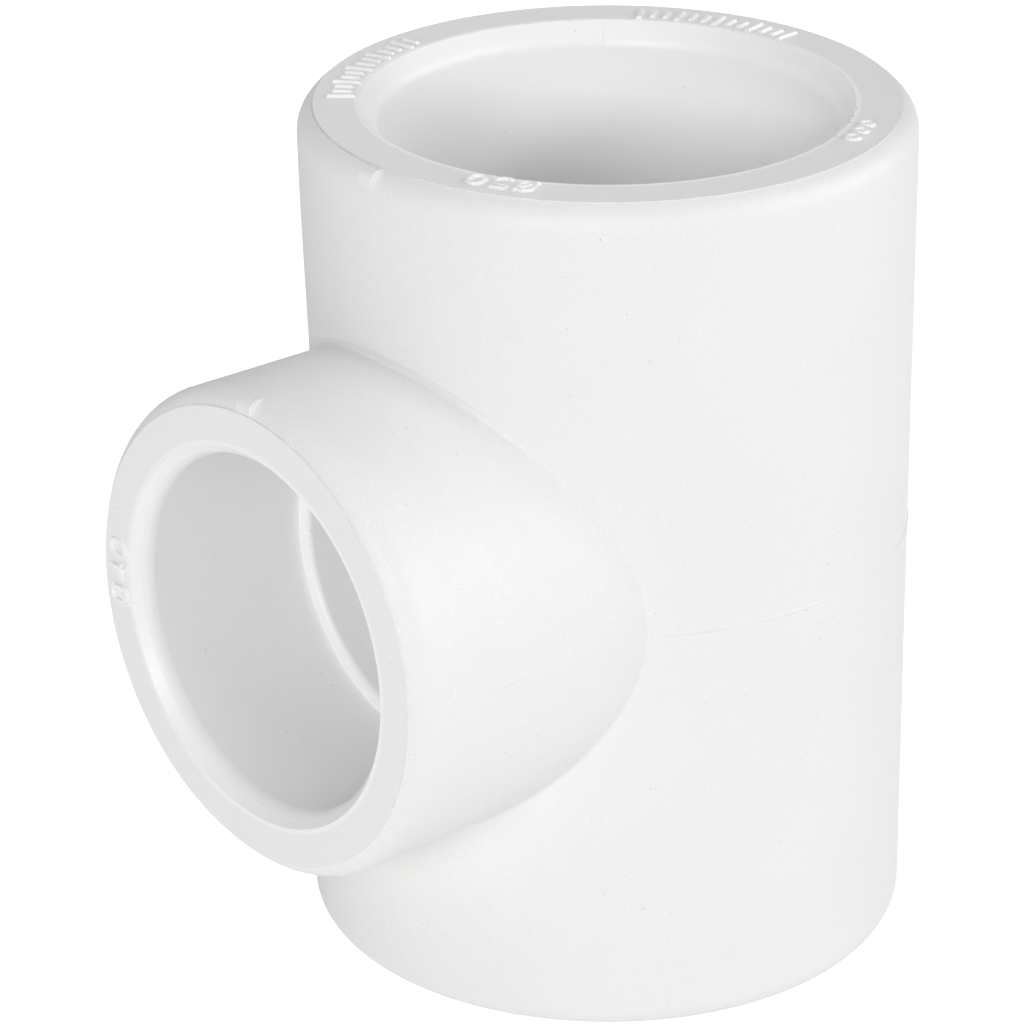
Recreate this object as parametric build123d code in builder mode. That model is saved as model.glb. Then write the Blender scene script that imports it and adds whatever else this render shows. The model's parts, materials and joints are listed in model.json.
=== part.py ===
from build123d import *

import os
from math import cos, degrees, radians, sin

# Reducing tee for socket-fusion plastic pipe, injection moulded in one shot.
# Millimetres.  The run stands along +Z on its lower end face, the origin is the
# centre of that face, and the smaller branch points along -Y at mid-height.

# --- Run: two sockets for 50 mm pipe, back to back ---
run_height = 94.4
run_outer_radius = 32.9
run_mouth_radius = 26.2
run_bore_radius = 24.4
run_socket_depth = 25.0
run_waterway_radius = 22.6

# The skin is drawn in at mid-height on the branch side, and swells a little behind.
waist_radius = 32.3
waist_shift = 0.8
waist_stations = (-1.0, -0.5, -0.15, 0.15, 0.5, 1.0)

# --- Branch: one socket for 40 mm pipe ---
branch_reach = 49.7
branch_outer_radius = 26.7
branch_draft = 0.85
branch_mouth_radius = 20.8
branch_bore_radius = 19.4
branch_socket_depth = 22.0
branch_waterway_radius = 18.0

# --- Rounded shoulders, cut square by the end faces before they run out ---
run_shoulder_radius = 3.2
upper_shoulder_cut = 0.23
lower_shoulder_cut = 0.1
branch_shoulder_radius = 2.9
branch_shoulder_cut = 0.13

# The end faces of the upper socket and the branch stand a hair proud of their shoulders,
# where the insert that forms the socket meets the mould cavity.
face_step = 0.12
upper_face_radius = 31.16
branch_face_radius = 24.99

# --- Inside edges ---
run_lead_in = 1.9
branch_lead_in = 1.5
lead_in_blend = 2.0
stop_edge_radius = 0.8
crotch_radius = 0.5

# --- Flash line round the run where the two mould halves meet, just below mid-height ---
flash_drop = 0.5
flash_proud = 0.07
flash_width = 0.24
flash_gap_half_width = 26.9

# --- Raised marks on the end faces ---
mark_height = 0.3
mark_draft = 24.0
glyph_height = 2.95
glyph_width = 2.1
glyph_pitch = 2.72
glyph_stroke = 0.5
slash_length = 3.5
slash_angle = 52.0
bar_width = 0.6
bar_pitch = 1.5
long_bar = 3.1
short_bar = 2.1
long_bar_every = 3
ring_radius = 0.95
ring_hole_radius = 0.42
ring_pitch = 2.2

# Shapes of the figures, as shares of their height and width.
five_neck = 0.1
five_bowl = 0.14
four_bar = 0.2
four_stem = 0.2

run_mark_radius = 28.2
branch_mark_radius = 22.7

size_mark_angle = -64.7
left_bars_angle = -153.0
left_bars_count = 14
right_bars_angle = 112.0
right_bars_count = 13
rings_angle = 26.0
rings_count = 3
branch_mark_angle = 180.0

# --- Alignment ticks: squarer pads on the shoulders, beside the plane of the tee ---
tick_width = 2.3
tick_corner_radius = 1.05
tick_top_inset = 2.6
tick_front_inset = 0.12
tick_edge_radius = 0.12
upper_tick_foot = 3.2
upper_tick_offset = -0.75
branch_tick_foot = 3.4
branch_tick_offset = -0.4

mid_height = run_height / 2
top_face = Plane.XY.offset(run_height)
branch_face = Plane(
    origin=(0, -branch_reach, mid_height), x_dir=(1, 0, 0), z_dir=(0, -1, 0)
)

# Socket planes: local x is the radius, local y is the depth below the mouth.
upper_mouth = Plane(origin=(0, 0, run_height), x_dir=(1, 0, 0), z_dir=(0, 1, 0))
lower_mouth = Plane(origin=(0, 0, 0), x_dir=(1, 0, 0), z_dir=(0, -1, 0))
branch_mouth = Plane(
    origin=(0, -branch_reach, mid_height), x_dir=(1, 0, 0), z_dir=(0, 0, 1)
)

# Tick sections: local x is the radius towards the tick, local y is the depth.
upper_section = Plane(
    origin=(upper_tick_offset, 0, run_height), x_dir=(0, -1, 0), z_dir=(1, 0, 0)
)
branch_section = Plane(
    origin=(branch_tick_offset, -branch_reach, mid_height),
    x_dir=(0, 0, 1),
    z_dir=(-1, 0, 0),
)


def socket_profile(
    mouth, mouth_radius, lead_in, bore_radius, depth, waterway_radius, reach
):
    """Half section of a pipe socket: lead-in, straight bore, rounded stop, waterway."""
    with BuildSketch(mouth) as profile:
        with BuildLine():
            FilletPolyline(
                (0, 0),
                (mouth_radius, 0),
                (bore_radius, lead_in),
                (bore_radius, depth),
                (waterway_radius, depth),
                (waterway_radius, reach),
                (0, reach),
                radius=[0, 0, lead_in_blend, 0, stop_edge_radius, 0, 0],
                close=True,
            )
        make_face()
    return profile.sketch


def rim_places(radius, middle_angle, pitch, count):
    """Places in a row around a rim, clockwise, with local y pointing outwards."""
    step = degrees(pitch / radius)
    first_angle = middle_angle + step * (count - 1) / 2
    angles = [first_angle - step * index for index in range(count)]
    return [
        Location(
            (radius * cos(radians(angle)), radius * sin(radians(angle)), 0),
            (0, 0, angle - 90),
        )
        for angle in angles
    ]


def zero_glyph():
    """A raised 0: a closed loop of two arcs and two straight sides."""
    with BuildSketch() as glyph:
        SlotOverall(glyph_height, glyph_width, rotation=90)
        SlotOverall(
            glyph_height - 2 * glyph_stroke,
            glyph_width - 2 * glyph_stroke,
            rotation=90,
            mode=Mode.SUBTRACT,
        )
    return glyph.sketch


def diameter_glyph():
    """A diameter sign: the 0 with a slash that overhangs it."""
    with BuildSketch() as glyph:
        add(zero_glyph())
        Rectangle(slash_length, glyph_stroke, rotation=slash_angle)
    return glyph.sketch


def five_glyph():
    """A raised 5: flag, stem and bowl."""
    right = (glyph_width - glyph_stroke) / 2
    top = (glyph_height - glyph_stroke) / 2
    neck = glyph_height * five_neck
    bowl = -glyph_height * five_bowl
    with BuildSketch() as glyph:
        with BuildLine():
            Polyline((right, top), (-right, top), (-right, neck))
        trace(line_width=glyph_stroke)
        with BuildLine():
            ThreePointArc((-right, neck), (right, bowl), (-right, -top))
        trace(line_width=glyph_stroke)
    return glyph.sketch


def four_glyph():
    """A raised 4: slanted arm, bar and stem."""
    left = (glyph_stroke - glyph_width) / 2
    top = (glyph_height - glyph_stroke) / 2
    stem = glyph_width * four_stem
    bar = -glyph_height * four_bar
    with BuildSketch() as glyph:
        with Locations((stem, 0)):
            Rectangle(glyph_stroke, glyph_height)
        with Locations((0, bar)):
            Rectangle(glyph_width, glyph_stroke)
        with BuildLine():
            Line((left, bar), (stem, top))
        trace(line_width=glyph_stroke)
    return glyph.sketch


def glyph_row(glyphs, radius, middle_angle):
    """Glyphs side by side around a rim."""
    places = rim_places(radius, middle_angle, glyph_pitch, len(glyphs))
    with BuildSketch() as row:
        for place, glyph in zip(places, glyphs):
            with Locations(place):
                add(glyph)
    return row.sketch


def bar_row(radius, middle_angle, count):
    """Plain graduation bars around a rim, every third one long."""
    with BuildSketch() as row:
        for index, place in enumerate(rim_places(radius, middle_angle, bar_pitch, count)):
            length = long_bar if index % long_bar_every == 0 else short_bar
            with Locations(place):
                Rectangle(bar_width, length)
    return row.sketch


def tick_profile(face, rim_radius, foot):
    """Section of a tick: fills the rounded shoulder out to a tighter corner."""
    with BuildSketch(face) as profile:
        with BuildLine():
            FilletPolyline(
                (rim_radius - tick_top_inset, face_step),
                (rim_radius - tick_front_inset, face_step),
                (rim_radius - tick_front_inset, foot),
                (rim_radius - foot, foot),
                radius=[0, tick_corner_radius, 0, 0],
                close=True,
            )
        make_face()
    return profile.sketch


# --- Tee body ---
with BuildPart() as tee_body:
    # Run: round at both ends and drawn in on the branch side at mid-height.
    for station in waist_stations:
        waist = 1 - abs(station)
        shoulder_cut = upper_shoulder_cut if station > 0 else lower_shoulder_cut
        level = mid_height + station * (mid_height + shoulder_cut)
        with BuildSketch(Plane.XY.offset(level)):
            with Locations((0, waist_shift * waist)):
                Circle(run_outer_radius - (run_outer_radius - waist_radius) * waist)
    loft()
    run_rims = tee_body.faces().filter_by(GeomType.PLANE).edges()
    fillet(run_rims, radius=run_shoulder_radius)
    split(bisect_by=top_face.offset(-face_step / 2), keep=Keep.BOTTOM)
    split(bisect_by=Plane.XY, keep=Keep.TOP)
    with BuildSketch(top_face):
        Circle(upper_face_radius)
    extrude(amount=-run_shoulder_radius)

    # Branch: a drafted cylinder with its own rounded shoulder.
    with BuildSketch(branch_face.offset(branch_shoulder_cut)):
        Circle(branch_outer_radius)
    extrude(amount=-branch_reach, taper=branch_draft)
    branch_rim = tee_body.edges().filter_by(GeomType.CIRCLE).group_by(Axis.Y)[0]
    fillet(branch_rim, radius=branch_shoulder_radius)
    split(bisect_by=branch_face.offset(-face_step / 2), keep=Keep.BOTTOM)
    with BuildSketch(branch_face):
        Circle(branch_face_radius)
    extrude(amount=-branch_shoulder_radius)

    # Crotch: a tiny fillet all round the junction of branch and run.
    branch_side = tee_body.edges().filter_by_position(
        Axis.Y, -run_outer_radius, -crotch_radius
    )
    crotch = branch_side.sort_by(SortBy.LENGTH)[-1]
    fillet(crotch, radius=crotch_radius)

    # Flash line: a thin disc a hair wider than the run, cut away where the branch is.
    with BuildSketch(Plane.XY.offset(mid_height - flash_drop - flash_width / 2)):
        with Locations((0, waist_shift)):
            Circle(waist_radius + flash_proud)
        Rectangle(
            2 * flash_gap_half_width,
            run_outer_radius,
            align=(Align.CENTER, Align.MAX),
            mode=Mode.SUBTRACT,
        )
    extrude(amount=flash_width)

    # Voids: three sockets that open into one waterway.
    for mouth in (upper_mouth, lower_mouth):
        revolve(
            socket_profile(
                mouth,
                run_mouth_radius,
                run_lead_in,
                run_bore_radius,
                run_socket_depth,
                run_waterway_radius,
                mid_height,
            ),
            axis=Axis(mouth.origin, mouth.y_dir),
            mode=Mode.SUBTRACT,
        )
    revolve(
        socket_profile(
            branch_mouth,
            branch_mouth_radius,
            branch_lead_in,
            branch_bore_radius,
            branch_socket_depth,
            branch_waterway_radius,
            branch_reach,
        ),
        axis=Axis(branch_mouth.origin, branch_mouth.y_dir),
        mode=Mode.SUBTRACT,
    )

# --- Size marks: diameter sign and nominal pipe size, read from outside ---
with BuildPart() as upper_size_mark:
    with BuildSketch(top_face):
        add(
            glyph_row(
                [diameter_glyph(), five_glyph(), zero_glyph()],
                run_mark_radius,
                size_mark_angle,
            )
        )
    extrude(amount=mark_height, taper=mark_draft)

with BuildPart() as branch_size_mark:
    with BuildSketch(branch_face):
        add(
            glyph_row(
                [diameter_glyph(), four_glyph(), zero_glyph()],
                branch_mark_radius,
                branch_mark_angle,
            )
        )
    extrude(amount=mark_height, taper=mark_draft)

# --- Plain graduation bars and rings on the upper face ---
with BuildPart() as left_graduation_bars:
    with BuildSketch(top_face):
        add(bar_row(run_mark_radius, left_bars_angle, left_bars_count))
    extrude(amount=mark_height, taper=mark_draft)

with BuildPart() as right_graduation_bars:
    with BuildSketch(top_face):
        add(bar_row(run_mark_radius, right_bars_angle, right_bars_count))
    extrude(amount=mark_height, taper=mark_draft)

with BuildPart() as cavity_rings:
    with BuildSketch(top_face):
        with Locations(*rim_places(run_mark_radius, rings_angle, ring_pitch, rings_count)):
            Circle(ring_radius)
            Circle(ring_hole_radius, mode=Mode.SUBTRACT)
    extrude(amount=mark_height, taper=mark_draft)

# --- Alignment ticks: one on the upper rim above the branch, one on top of the branch ---
with BuildPart() as upper_rim_tick:
    extrude(
        tick_profile(upper_section, run_outer_radius, upper_tick_foot),
        tick_width / 2,
        both=True,
    )
    fillet(upper_rim_tick.edges(), radius=tick_edge_radius)
    add(tee_body.part, mode=Mode.SUBTRACT)

with BuildPart() as branch_rim_tick:
    extrude(
        tick_profile(branch_section, branch_outer_radius, branch_tick_foot),
        tick_width / 2,
        both=True,
    )
    fillet(branch_rim_tick.edges(), radius=tick_edge_radius)
    add(tee_body.part, mode=Mode.SUBTRACT)

os.makedirs("parts", exist_ok=True)

tee_body.part.label = "tee_body"
export_step(tee_body.part, "parts/tee_body.step")
upper_size_mark.part.label = "upper_size_mark"
export_step(upper_size_mark.part, "parts/upper_size_mark.step")
branch_size_mark.part.label = "branch_size_mark"
export_step(branch_size_mark.part, "parts/branch_size_mark.step")
left_graduation_bars.part.label = "left_graduation_bars"
export_step(left_graduation_bars.part, "parts/left_graduation_bars.step")
right_graduation_bars.part.label = "right_graduation_bars"
export_step(right_graduation_bars.part, "parts/right_graduation_bars.step")
cavity_rings.part.label = "cavity_rings"
export_step(cavity_rings.part, "parts/cavity_rings.step")
upper_rim_tick.part.label = "upper_rim_tick"
export_step(upper_rim_tick.part, "parts/upper_rim_tick.step")
branch_rim_tick.part.label = "branch_rim_tick"
export_step(branch_rim_tick.part, "parts/branch_rim_tick.step")
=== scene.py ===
import json
import math

import bpy
from mathutils import Matrix, Vector


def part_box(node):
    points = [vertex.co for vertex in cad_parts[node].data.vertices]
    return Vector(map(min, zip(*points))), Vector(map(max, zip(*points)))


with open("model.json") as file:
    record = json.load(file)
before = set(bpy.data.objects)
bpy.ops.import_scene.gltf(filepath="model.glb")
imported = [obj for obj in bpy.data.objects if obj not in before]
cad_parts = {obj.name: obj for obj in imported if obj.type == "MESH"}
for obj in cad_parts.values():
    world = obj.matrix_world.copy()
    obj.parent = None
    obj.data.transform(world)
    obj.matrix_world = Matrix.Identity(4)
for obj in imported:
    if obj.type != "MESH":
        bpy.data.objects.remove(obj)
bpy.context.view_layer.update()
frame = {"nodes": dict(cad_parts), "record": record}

MM = 0.001

# ------------------------------------------------ where things are, from the frame
mounts = {mount["name"]: mount for mount in frame["record"]["mounts"]}
body_low, body_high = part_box("tee_body")
middle = Vector((0, 0, body_high.z / 2))

# ------------------------------------------------ camera
VIEW_AZIMUTH = 48.886
VIEW_ELEVATION = 24.32
VIEW_ROLL = -0.413
VIEW_DISTANCE = 521.378 * MM
AIM_LEFT = 10.399 * MM
AIM_DOWN = 0.662 * MM
FOCAL_LENGTH = 167.23
SENSOR_WIDTH = 36.0

# ------------------------------------------------ light, in watts and metres
WORLD_STRENGTH = 0.22
FLOOR_GREY = 0.35
FLOOR_GLOW = 0.56
FLOOR_GLOW_SEEN = 1.0
FLOOR_HALF_WIDTH = 3.0
FLOOR_GAP = 0.05 * MM
BOX_DISTANCE = 1.2
# Name, azimuth and elevation in degrees, width, height, power.
SOFT_BOXES = [
    ("left_box", 30.0, 18.0, 0.6, 0.3, 6.45),
    ("right_box", 120.0, 26.0, 0.6, 0.2, 3.6),
    ("side_box", 155.0, 12.0, 0.6, 0.5, 3.7),
    ("back_box", 240.0, 30.0, 0.8, 0.6, 1.5),
    ("top_box", 0.0, 85.0, 0.6, 0.6, 2.9),
]


def direction(azimuth, elevation):
    """Unit vector from the fitting to a viewer: azimuth 0 stands at -Y and 90 at +X."""
    a, e = math.radians(azimuth), math.radians(elevation)
    return Vector((math.sin(a) * math.cos(e), -math.cos(a) * math.cos(e), math.sin(e)))


def link(name, data):
    """A new object in the scene."""
    thing = bpy.data.objects.new(name, data)
    bpy.context.scene.collection.objects.link(thing)
    return thing


def make_camera():
    """A long lens from the front right and above, rolled by a hair."""
    back = direction(VIEW_AZIMUTH, VIEW_ELEVATION)
    level = Vector((0, 0, 1)).cross(back).normalized()
    right = Matrix.Rotation(math.radians(VIEW_ROLL), 3, back) @ level
    up = back.cross(right)
    data = bpy.data.cameras.new("camera")
    data.lens = FOCAL_LENGTH
    data.sensor_width = SENSOR_WIDTH
    data.clip_start = VIEW_DISTANCE / 100
    data.clip_end = VIEW_DISTANCE * 100
    camera = link("camera", data)
    place = Matrix((right, up, back)).transposed().to_4x4()
    place.translation = middle - right * AIM_LEFT - up * AIM_DOWN + back * VIEW_DISTANCE
    camera.matrix_world = place
    bpy.context.scene.camera = camera


def soft_box(name, azimuth, elevation, width, tall, power):
    """A rectangular area light that looks at the middle of the fitting."""
    data = bpy.data.lights.new(name, "AREA")
    data.shape = "RECTANGLE"
    data.size = width
    data.size_y = tall
    data.energy = power
    lamp = link(name, data)
    towards = direction(azimuth, elevation)
    lamp.location = middle + towards * BOX_DISTANCE
    lamp.rotation_mode = "QUATERNION"
    lamp.rotation_quaternion = towards.to_track_quat("Z", "Y")


def make_world():
    """Dim even surroundings, which fill the shadows."""
    world = bpy.data.worlds.new("studio")
    world.use_nodes = True
    background = world.node_tree.nodes["Background"]
    background.inputs["Color"].default_value = (1.0, 1.0, 1.0, 1.0)
    background.inputs["Strength"].default_value = WORLD_STRENGTH
    bpy.context.scene.world = world


def make_floor():
    """A plain pale light table under the fitting, exposed to pure white where the camera sees it."""
    half = FLOOR_HALF_WIDTH
    mesh = bpy.data.meshes.new("floor")
    corners = [(-half, -half, 0), (half, -half, 0), (half, half, 0), (-half, half, 0)]
    mesh.from_pydata(corners, [], [(0, 1, 2, 3)])
    floor = link("floor", mesh)
    floor.location.z = body_low.z - FLOOR_GAP
    material = bpy.data.materials.new("light_table")
    material.use_nodes = True
    shader = material.node_tree.nodes["Principled BSDF"]
    shader.inputs["Base Color"].default_value = (FLOOR_GREY, FLOOR_GREY, FLOOR_GREY, 1.0)
    shader.inputs["Roughness"].default_value = 1.0
    shader.inputs["Specular IOR Level"].default_value = 0.0
    shader.inputs["Emission Color"].default_value = (1.0, 1.0, 1.0, 1.0)
    seen = material.node_tree.nodes.new("ShaderNodeLightPath").outputs["Is Camera Ray"]
    glow = material.node_tree.nodes.new("ShaderNodeMapRange")
    glow.inputs["To Min"].default_value = FLOOR_GLOW
    glow.inputs["To Max"].default_value = FLOOR_GLOW_SEEN
    material.node_tree.links.new(seen, glow.inputs["Value"])
    material.node_tree.links.new(glow.outputs[0], shader.inputs["Emission Strength"])
    mesh.materials.append(material)


# ------------------------------------------------ materials
class Tree:
    """Short names for the nodes of one material. Lengths inside it are in millimetres."""

    def __init__(self, name):
        self.material = bpy.data.materials.new(name)
        self.material.use_nodes = True
        self.tree = self.material.node_tree
        self.shader = self.tree.nodes["Principled BSDF"]
        coordinates = self.tree.nodes.new("ShaderNodeTexCoord").outputs["Object"]
        self.place = self.vector("SCALE", coordinates, 1 / MM)
        split = self.tree.nodes.new("ShaderNodeSeparateXYZ")
        self.wire(self.place, split.inputs[0])
        self.x, self.y, self.z = split.outputs

    def wire(self, value, socket):
        """Feeds a socket with another socket's value, or with a plain number or tuple."""
        if isinstance(value, bpy.types.NodeSocket):
            self.tree.links.new(value, socket)
        else:
            socket.default_value = value

    def math(self, operation, *values):
        """The result of one Math node."""
        node = self.tree.nodes.new("ShaderNodeMath")
        node.operation = operation
        for value, socket in zip(values, node.inputs):
            self.wire(value, socket)
        return node.outputs[0]

    def vector(self, operation, a, b):
        """The result of one Vector Math node."""
        node = self.tree.nodes.new("ShaderNodeVectorMath")
        node.operation = operation
        self.wire(a, node.inputs[0])
        self.wire(b, node.inputs["Scale" if operation == "SCALE" else 1])
        return node.outputs[0]

    def ramp(self, value, low, high, out_low=0.0, out_high=1.0):
        """Maps value from low..high to out_low..out_high with soft ends."""
        node = self.tree.nodes.new("ShaderNodeMapRange")
        node.interpolation_type = "SMOOTHSTEP"
        for number, socket in zip((value, low, high, out_low, out_high), node.inputs):
            self.wire(number, socket)
        return node.outputs[0]

    def noise(self, size, detail):
        """Cloudy noise around 0.5 whose blobs are about this many millimetres across."""
        node = self.tree.nodes.new("ShaderNodeTexNoise")
        self.wire(self.place, node.inputs["Vector"])
        node.inputs["Scale"].default_value = 1 / size
        node.inputs["Detail"].default_value = detail
        return node.outputs[0]

    def patches(self, size, detail, low, high, least=0.0):
        """1 where a noise is above high, going down to least where it is below low."""
        return self.ramp(self.noise(size, detail), low, high, least, 1.0)

    def wavy(self, value, size, detail, swing):
        """A value that noise carries to and fro over this swing."""
        shift = self.math("SUBTRACT", self.noise(size, detail), 0.5)
        return self.math("MULTIPLY_ADD", shift, swing, value)

    def cells(self, size):
        """Distance to the nearest cell centre, in cells, and that cell's random number."""
        node = self.tree.nodes.new("ShaderNodeTexVoronoi")
        self.wire(self.place, node.inputs["Vector"])
        node.inputs["Scale"].default_value = 1 / size
        split = self.tree.nodes.new("ShaderNodeSeparateColor")
        self.wire(node.outputs["Color"], split.inputs[0])
        return node.outputs["Distance"], split.outputs[0]

    def mix(self, share, a, b):
        """Colour a, going over to colour b as share goes from 0 to 1."""
        node = self.tree.nodes.new("ShaderNodeMix")
        node.data_type = "RGBA"
        share_socket, a_socket, b_socket = node.inputs[0], node.inputs[6], node.inputs[7]
        self.wire(share, share_socket)
        self.wire(a, a_socket)
        self.wire(b, b_socket)
        return node.outputs[2]

    def bump(self, relief, depth):
        """A bump from a relief of 0 to 1 that is this many millimetres deep."""
        node = self.tree.nodes.new("ShaderNodeBump")
        node.inputs["Distance"].default_value = depth * MM
        self.wire(relief, node.inputs["Height"])
        return node.outputs[0]

    def band(self, value, low, high, soft):
        """1 where value lies between low and high, with soft ends this wide."""
        after = self.ramp(value, low - soft, low)
        return self.math("MULTIPLY", after, self.ramp(value, high + soft, high))

    def line(self, value, centre, width):
        """1 on the middle two fifths of a line around a value, fading to its sides."""
        off = self.math("ABSOLUTE", self.math("SUBTRACT", value, centre))
        return self.ramp(off, width / 2, width / 5)

    def all_of(self, *shares):
        """The product of several shares or numbers."""
        product = shares[0]
        for share in shares[1:]:
            product = self.math("MULTIPLY", product, share)
        return product

    def most_of(self, *shares):
        """The largest of several shares."""
        largest = shares[0]
        for share in shares[1:]:
            largest = self.math("MAXIMUM", largest, share)
        return largest

    def square(self, value):
        return self.math("MULTIPLY", value, value)

    def across_run(self):
        """Distance from the run's axis."""
        return self.math("SQRT", self.math("ADD", self.square(self.x), self.square(self.y)))

    def across_branch(self):
        """Distance from the branch's axis."""
        rise = self.math("SUBTRACT", self.z, BRANCH_LEVEL)
        return self.math("SQRT", self.math("ADD", self.square(self.x), self.square(rise)))

    def azimuth(self):
        """Degrees around the run's axis: 0 over the branch, 90 at +X."""
        behind = self.math("MULTIPLY", self.y, -1.0)
        return self.math("DEGREES", self.math("ARCTAN2", self.x, behind))


# Sizes of the fitting in millimetres, for the materials. Those below the bores are radii.
TOP = body_high.z / MM
REACH = -body_low.y / MM
BRANCH_LEVEL = mounts["branch_socket"]["pos_m"][2] / MM
PARTING_LEVEL = BRANCH_LEVEL - 0.5
RUN_BORE = mounts["upper_socket"]["dims"]["r_mm"]
BRANCH_BORE = mounts["branch_socket"]["dims"]["r_mm"]
RUN_MOUTH = RUN_BORE + 1.8
RUN_INSIDE = RUN_BORE + 2.2
BRANCH_INSIDE = BRANCH_BORE + 1.8
RUN_FACE = 31.2
BRANCH_FACE = 25.05
BRANCH_ROOT = 27.0
RUN_WAIST = 32.3

WHITE = (0.885, 0.885, 0.88, 1.0)
WARM_WHITE = (0.876, 0.876, 0.869, 1.0)
# Painted light: the insides of the bores are painted lighter than the outside, to brighten them.
INNER_PAINTED_LIGHT = (0.94, 0.94, 0.937, 1.0)
# Painted light: the run's sockets are painted whiter towards their mouths.
MOUTH_PAINTED_LIGHT = (0.985, 0.985, 0.982, 1.0)
# Painted highlight: the raised marks are painted a little brighter than the body.
MARK_PAINTED_HIGHLIGHT = (0.93, 0.93, 0.926, 1.0)
# Painted highlight: the white of the flash band and of the glints.
PAINTED_HIGHLIGHT_WHITE = (0.97, 0.97, 0.967, 1.0)
# Dark colour for specks, nicks, flow lines, the scratch and grain, and for painted shade.
DARK_DIRT_AND_SHADE = (0.30, 0.30, 0.29, 1.0)
POLYPROPYLENE_IOR = 1.49


def run_socket_faces(t):
    """1 inside the run's two sockets and its waterway."""
    soft = 0.2
    return t.ramp(t.across_run(), RUN_INSIDE + soft, RUN_INSIDE)


def branch_socket_faces(t):
    """1 inside the branch's socket and its waterway."""
    soft = 0.2
    inside = t.ramp(t.across_branch(), BRANCH_INSIDE + soft, BRANCH_INSIDE)
    in_front = t.ramp(t.y, 0.0, -0.1)
    return t.all_of(inside, in_front)


def end_faces(t):
    """1 on the flat rings around the three mouths."""
    off, on = 0.06, 0.03
    on_top = t.ramp(t.z, TOP - off, TOP - on)
    on_bottom = t.ramp(t.z, off, on)
    on_branch = t.ramp(t.y, off - REACH, on - REACH)
    return t.most_of(on_top, on_bottom, on_branch)


def specks(t):
    """Sparse dark dots of burnt plastic, some of them faint."""
    spacing = 1.4
    rim, core = 0.064, 0.03
    chance = 0.5
    darkness = 0.85
    near, luck = t.cells(spacing)
    return t.all_of(t.ramp(near, rim, core), t.ramp(luck, chance, 0.0), darkness)


def crease_painted_shade(t):
    """Painted shade: dark hairlines in the creases where the raised end faces meet the rounded
    shoulders.
    """
    width = 0.22
    off, on = 0.5, 0.3
    patchy = t.patches(1.8, 3.0, 0.34, 0.5, least=0.45)

    run_line = t.line(t.across_run(), RUN_FACE, width)
    near_top = t.ramp(t.z, TOP - off, TOP - on)
    # The painted shade is darker towards -X on the run and higher up on the branch.
    darker_left = t.ramp(t.x, 6.0, -10.0, 0.06, 0.36)
    run_crease = t.all_of(run_line, near_top, darker_left)

    branch_line = t.line(t.across_branch(), BRANCH_FACE, width)
    near_front = t.ramp(t.y, off - REACH, on - REACH)
    darker_above = t.ramp(t.z, BRANCH_LEVEL - 6.0, BRANCH_LEVEL + 10.0, 0.05, 0.14)
    branch_crease = t.all_of(branch_line, near_front, darker_above)

    return t.all_of(patchy, t.most_of(run_crease, branch_crease))


def crotch_painted_shade(t):
    """Painted shade: a dark hairline in the valley between branch and run, over the top of the branch.
    """
    darkness = 0.14
    near_branch = t.ramp(t.across_branch(), BRANCH_ROOT + 0.32, BRANCH_ROOT + 0.12)
    near_run = t.ramp(t.across_run(), RUN_WAIST + 0.28, RUN_WAIST + 0.1)
    on_top = t.ramp(t.z, BRANCH_LEVEL + 22.0, BRANCH_LEVEL + 25.0)
    in_front = t.ramp(t.y, -28.0, -29.0)
    return t.all_of(near_branch, near_run, on_top, in_front, darkness)


def mouth_nicks(t):
    """Short dark nicks along the far inner edge of the upper end face."""
    darkness = 0.5
    edge = t.line(t.across_run(), RUN_MOUTH + 0.1, 0.3)
    near_top = t.ramp(t.z, TOP - 0.3, TOP - 0.2)
    broken = t.patches(0.7, 2.0, 0.58, 0.66)
    far_side = t.ramp(t.y, 4.0, 10.0)
    return t.all_of(edge, near_top, broken, far_side, darkness)


def gate_lines(t):
    """A faint wavy flow line below the upper rim, with a run-down at its end."""
    darkness = 0.075
    turn = t.azimuth()
    outside = t.ramp(t.across_run(), RUN_BORE + 4.0, RUN_BORE + 5.0)

    drop_per_degree = 0.07
    start, end, soft_end = 42.0, 53.0, 1.5
    wave = t.wavy(t.z, 2.6, 3.0, swing=1.6)
    slope = t.math("MULTIPLY_ADD", turn, drop_per_degree, wave)
    flow = t.all_of(t.line(slope, TOP + 0.4, 0.34), t.band(turn, start, end, soft_end))

    drip_turn = 53.4
    drip_fade = 0.6
    sway = t.wavy(turn, 1.5, 2.0, swing=1.0)
    drip = t.all_of(t.line(sway, drip_turn, 0.5), t.band(t.z, TOP - 7.0, TOP - 2.6, 1.0), drip_fade)
    return t.all_of(t.most_of(flow, drip), outside, darkness)


def core_scratch(t):
    """One thin scratch down the lead-in of the upper socket."""
    darkness = 0.15
    scratch_turn = -131.4
    sway = t.wavy(t.azimuth(), 0.8, 1.0, swing=1.2)
    streak = t.line(sway, scratch_turn, 0.55)
    on_lead_in = t.band(t.z, TOP - 2.2, TOP - 0.3, 0.3)
    return t.all_of(streak, on_lead_in, run_socket_faces(t), darkness)


def parting_shadow(t):
    """Painted shadow: the faint hairline under the flash, and its remainder on the branch."""
    patchy = t.patches(4.0, 2.0, 0.38, 0.6, least=0.4)
    off_branch = t.ramp(t.across_branch(), BRANCH_ROOT, BRANCH_ROOT + 0.4)
    under_flash = t.line(t.z, PARTING_LEVEL - 0.18, 0.24)
    on_run = t.all_of(under_flash, off_branch, patchy, 0.16)

    along_branch = t.band(t.y, -39.8, -35.4, 0.6)
    right_side = t.ramp(t.x, 20.0, 21.0)
    on_branch = t.all_of(t.line(t.z, BRANCH_LEVEL + 0.35, 0.2), along_branch, right_side, 0.13)

    outside = t.ramp(t.across_run(), RUN_BORE + 5.0, RUN_BORE + 5.5)
    return t.all_of(t.most_of(on_run, on_branch), outside)


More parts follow.
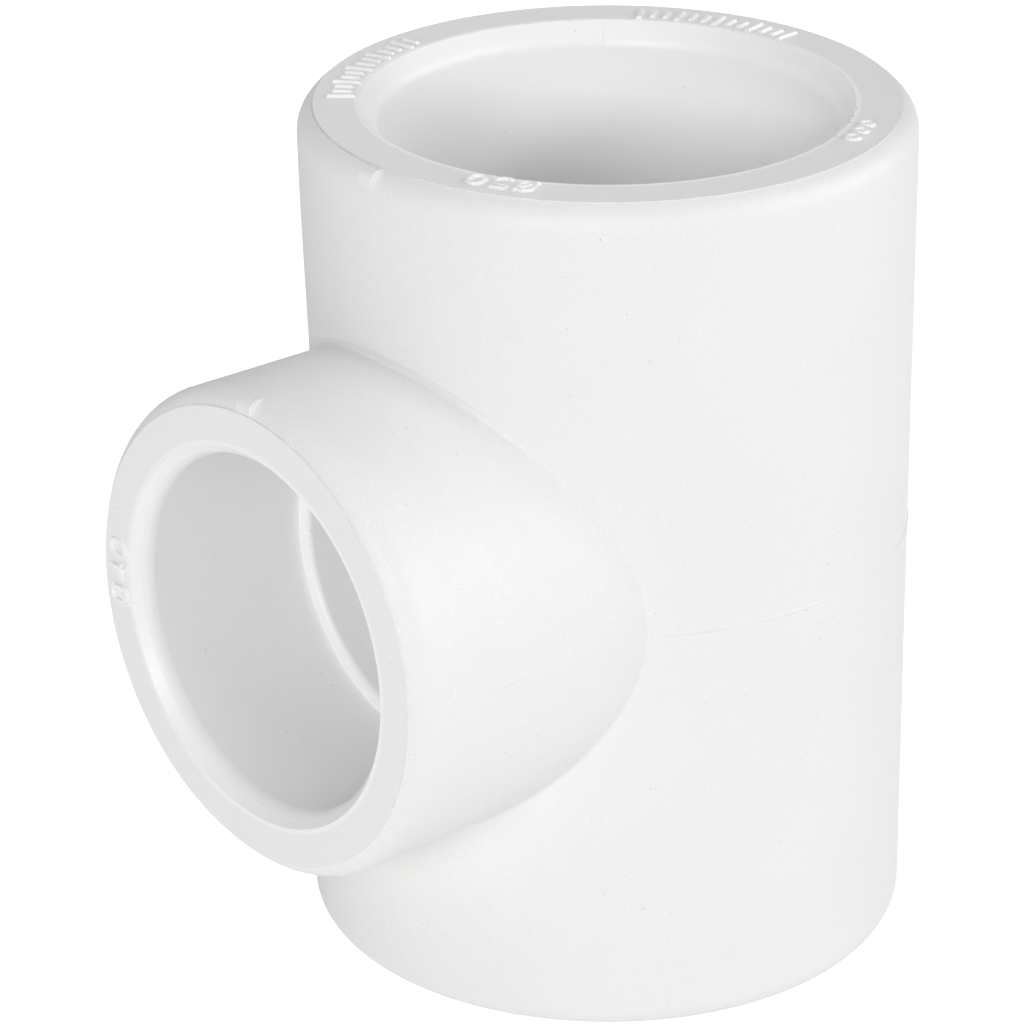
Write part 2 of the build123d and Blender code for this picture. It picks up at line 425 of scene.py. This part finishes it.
def flash_highlight(t):
    """A painted highlight on the thin band of flash, brighter towards +X."""
    off_branch = t.ramp(t.across_branch(), BRANCH_ROOT - 0.1, BRANCH_ROOT + 0.3)
    outside = t.ramp(t.across_run(), RUN_WAIST - 0.8, RUN_WAIST - 0.5)
    brighter_towards_x = t.ramp(t.azimuth(), 64.0, 92.0, 0.0, 0.4)
    return t.all_of(t.line(t.z, PARTING_LEVEL, 0.3), off_branch, outside, brighter_towards_x)


def sparkle(t):
    """Painted glints: tiny bright dots, thickest on the side of the branch."""
    spacing = 0.5
    rim, core = 0.28, 0.12
    chance = 0.4
    near, luck = t.cells(spacing)
    glint_dots = t.all_of(t.ramp(near, rim, core), t.math("LESS_THAN", luck, chance))
    patch = t.patches(9.0, 2.0, 0.42, 0.6)
    towards_mouth = t.ramp(t.y, -24.0, -36.0)
    return t.all_of(glint_dots, patch, towards_mouth)


def fine_grain(t):
    """Grain that is just too fine to see as dots, and dulls the white a little."""
    return t.patches(0.13, 2.0, 0.35, 0.65)


def moulded_plastic(name):
    """White polypropylene: spark-eroded grain outside, smooth inside, a few dark specks. Painted light
    too: lighter bores and run mouths, highlights on the flash, glints, and shade in the creases, the
    valley and under the flash.
    """
    t = Tree(name)
    in_run, in_branch = run_socket_faces(t), branch_socket_faces(t)
    inner = t.most_of(in_run, in_branch)
    smooth = t.most_of(inner, end_faces(t))
    outside = t.math("SUBTRACT", 1.0, smooth)

    # Painted light: inside the run, lighter towards both mouths.
    mouth_starts, mouth_full = 16.0, 9.0
    from_middle = t.math("ABSOLUTE", t.math("SUBTRACT", t.z, TOP / 2))
    by_mouth = t.ramp(from_middle, TOP / 2 - mouth_starts, TOP / 2 - mouth_full)
    colour = t.mix(t.patches(14.0, 3.0, 0.35, 0.65), WHITE, WARM_WHITE)
    # Painted light: the bores are painted lighter than the outside plastic.
    colour = t.mix(inner, colour, INNER_PAINTED_LIGHT)
    colour = t.mix(t.all_of(in_run, by_mouth), colour, MOUTH_PAINTED_LIGHT)
    # Painted highlight on the flash band.
    colour = t.mix(flash_highlight(t), colour, PAINTED_HIGHLIGHT_WHITE)
    # Painted glints on the outside.
    colour = t.mix(t.all_of(sparkle(t), outside), colour, PAINTED_HIGHLIGHT_WHITE)

    grain_inside, grain_more_outside = 0.045, 0.035
    grain_share = t.math("MULTIPLY_ADD", outside, grain_more_outside, grain_inside)
    # Real specks, nicks, flow lines, scratch and grain, with painted shade in the creases, the valley
    # and under the flash.
    dirt_and_painted_shade = t.most_of(
        specks(t),
        crease_painted_shade(t),
        crotch_painted_shade(t),
        mouth_nicks(t),
        gate_lines(t),
        core_scratch(t),
        parting_shadow(t),
        t.all_of(fine_grain(t), grain_share),
    )
    colour = t.mix(dirt_and_painted_shade, colour, DARK_DIRT_AND_SHADE)
    t.wire(colour, t.shader.inputs["Base Color"])

    worn = t.noise(3.0, 4.0)
    rough_outside = t.ramp(worn, 0.3, 0.7, 0.46, 0.58)
    rough_inside = t.ramp(worn, 0.3, 0.7, 0.38, 0.46)
    span = t.math("SUBTRACT", rough_inside, rough_outside)
    roughness = t.math("MULTIPLY_ADD", span, smooth, rough_outside)
    t.wire(roughness, t.shader.inputs["Roughness"])

    relief_depth = 0.03
    relief_lost_where_smooth = 0.75
    relief = t.math("ADD", t.noise(0.24, 2.0), t.noise(0.7, 1.0))
    relief_share = t.math("MULTIPLY_ADD", smooth, -relief_lost_where_smooth, 1.0)
    t.wire(t.bump(t.all_of(relief, relief_share), relief_depth), t.shader.inputs["Normal"])
    t.shader.inputs["IOR"].default_value = POLYPROPYLENE_IOR
    return t.material


def raised_plastic(name):
    """The same plastic on the raised numerals, bars and rings: finer, and painted a little brighter as
    a highlight.
    """
    t = Tree(name)
    grain_share = 0.03
    relief_depth = 0.012
    colour = t.mix(t.all_of(fine_grain(t), grain_share), MARK_PAINTED_HIGHLIGHT, DARK_DIRT_AND_SHADE)
    t.wire(colour, t.shader.inputs["Base Color"])
    t.wire(t.ramp(t.noise(0.8, 2.0), 0.3, 0.7, 0.38, 0.5), t.shader.inputs["Roughness"])
    t.wire(t.bump(t.noise(0.2, 2.0), relief_depth), t.shader.inputs["Normal"])
    t.shader.inputs["IOR"].default_value = POLYPROPYLENE_IOR
    return t.material


def paint(nodes, material):
    """Gives these CAD nodes one material."""
    for name in nodes:
        mesh = frame["nodes"][name].data
        mesh.materials.clear()
        mesh.materials.append(material)


bpy.context.scene.view_settings.view_transform = "Standard"
make_camera()
make_world()
for box in SOFT_BOXES:
    soft_box(*box)
make_floor()
blended = ["tee_body", "upper_rim_tick", "branch_rim_tick"]
marks = [name for name in frame["nodes"] if name not in blended]
paint(blended, moulded_plastic("moulded_white"))
paint(marks, raised_plastic("raised_white"))
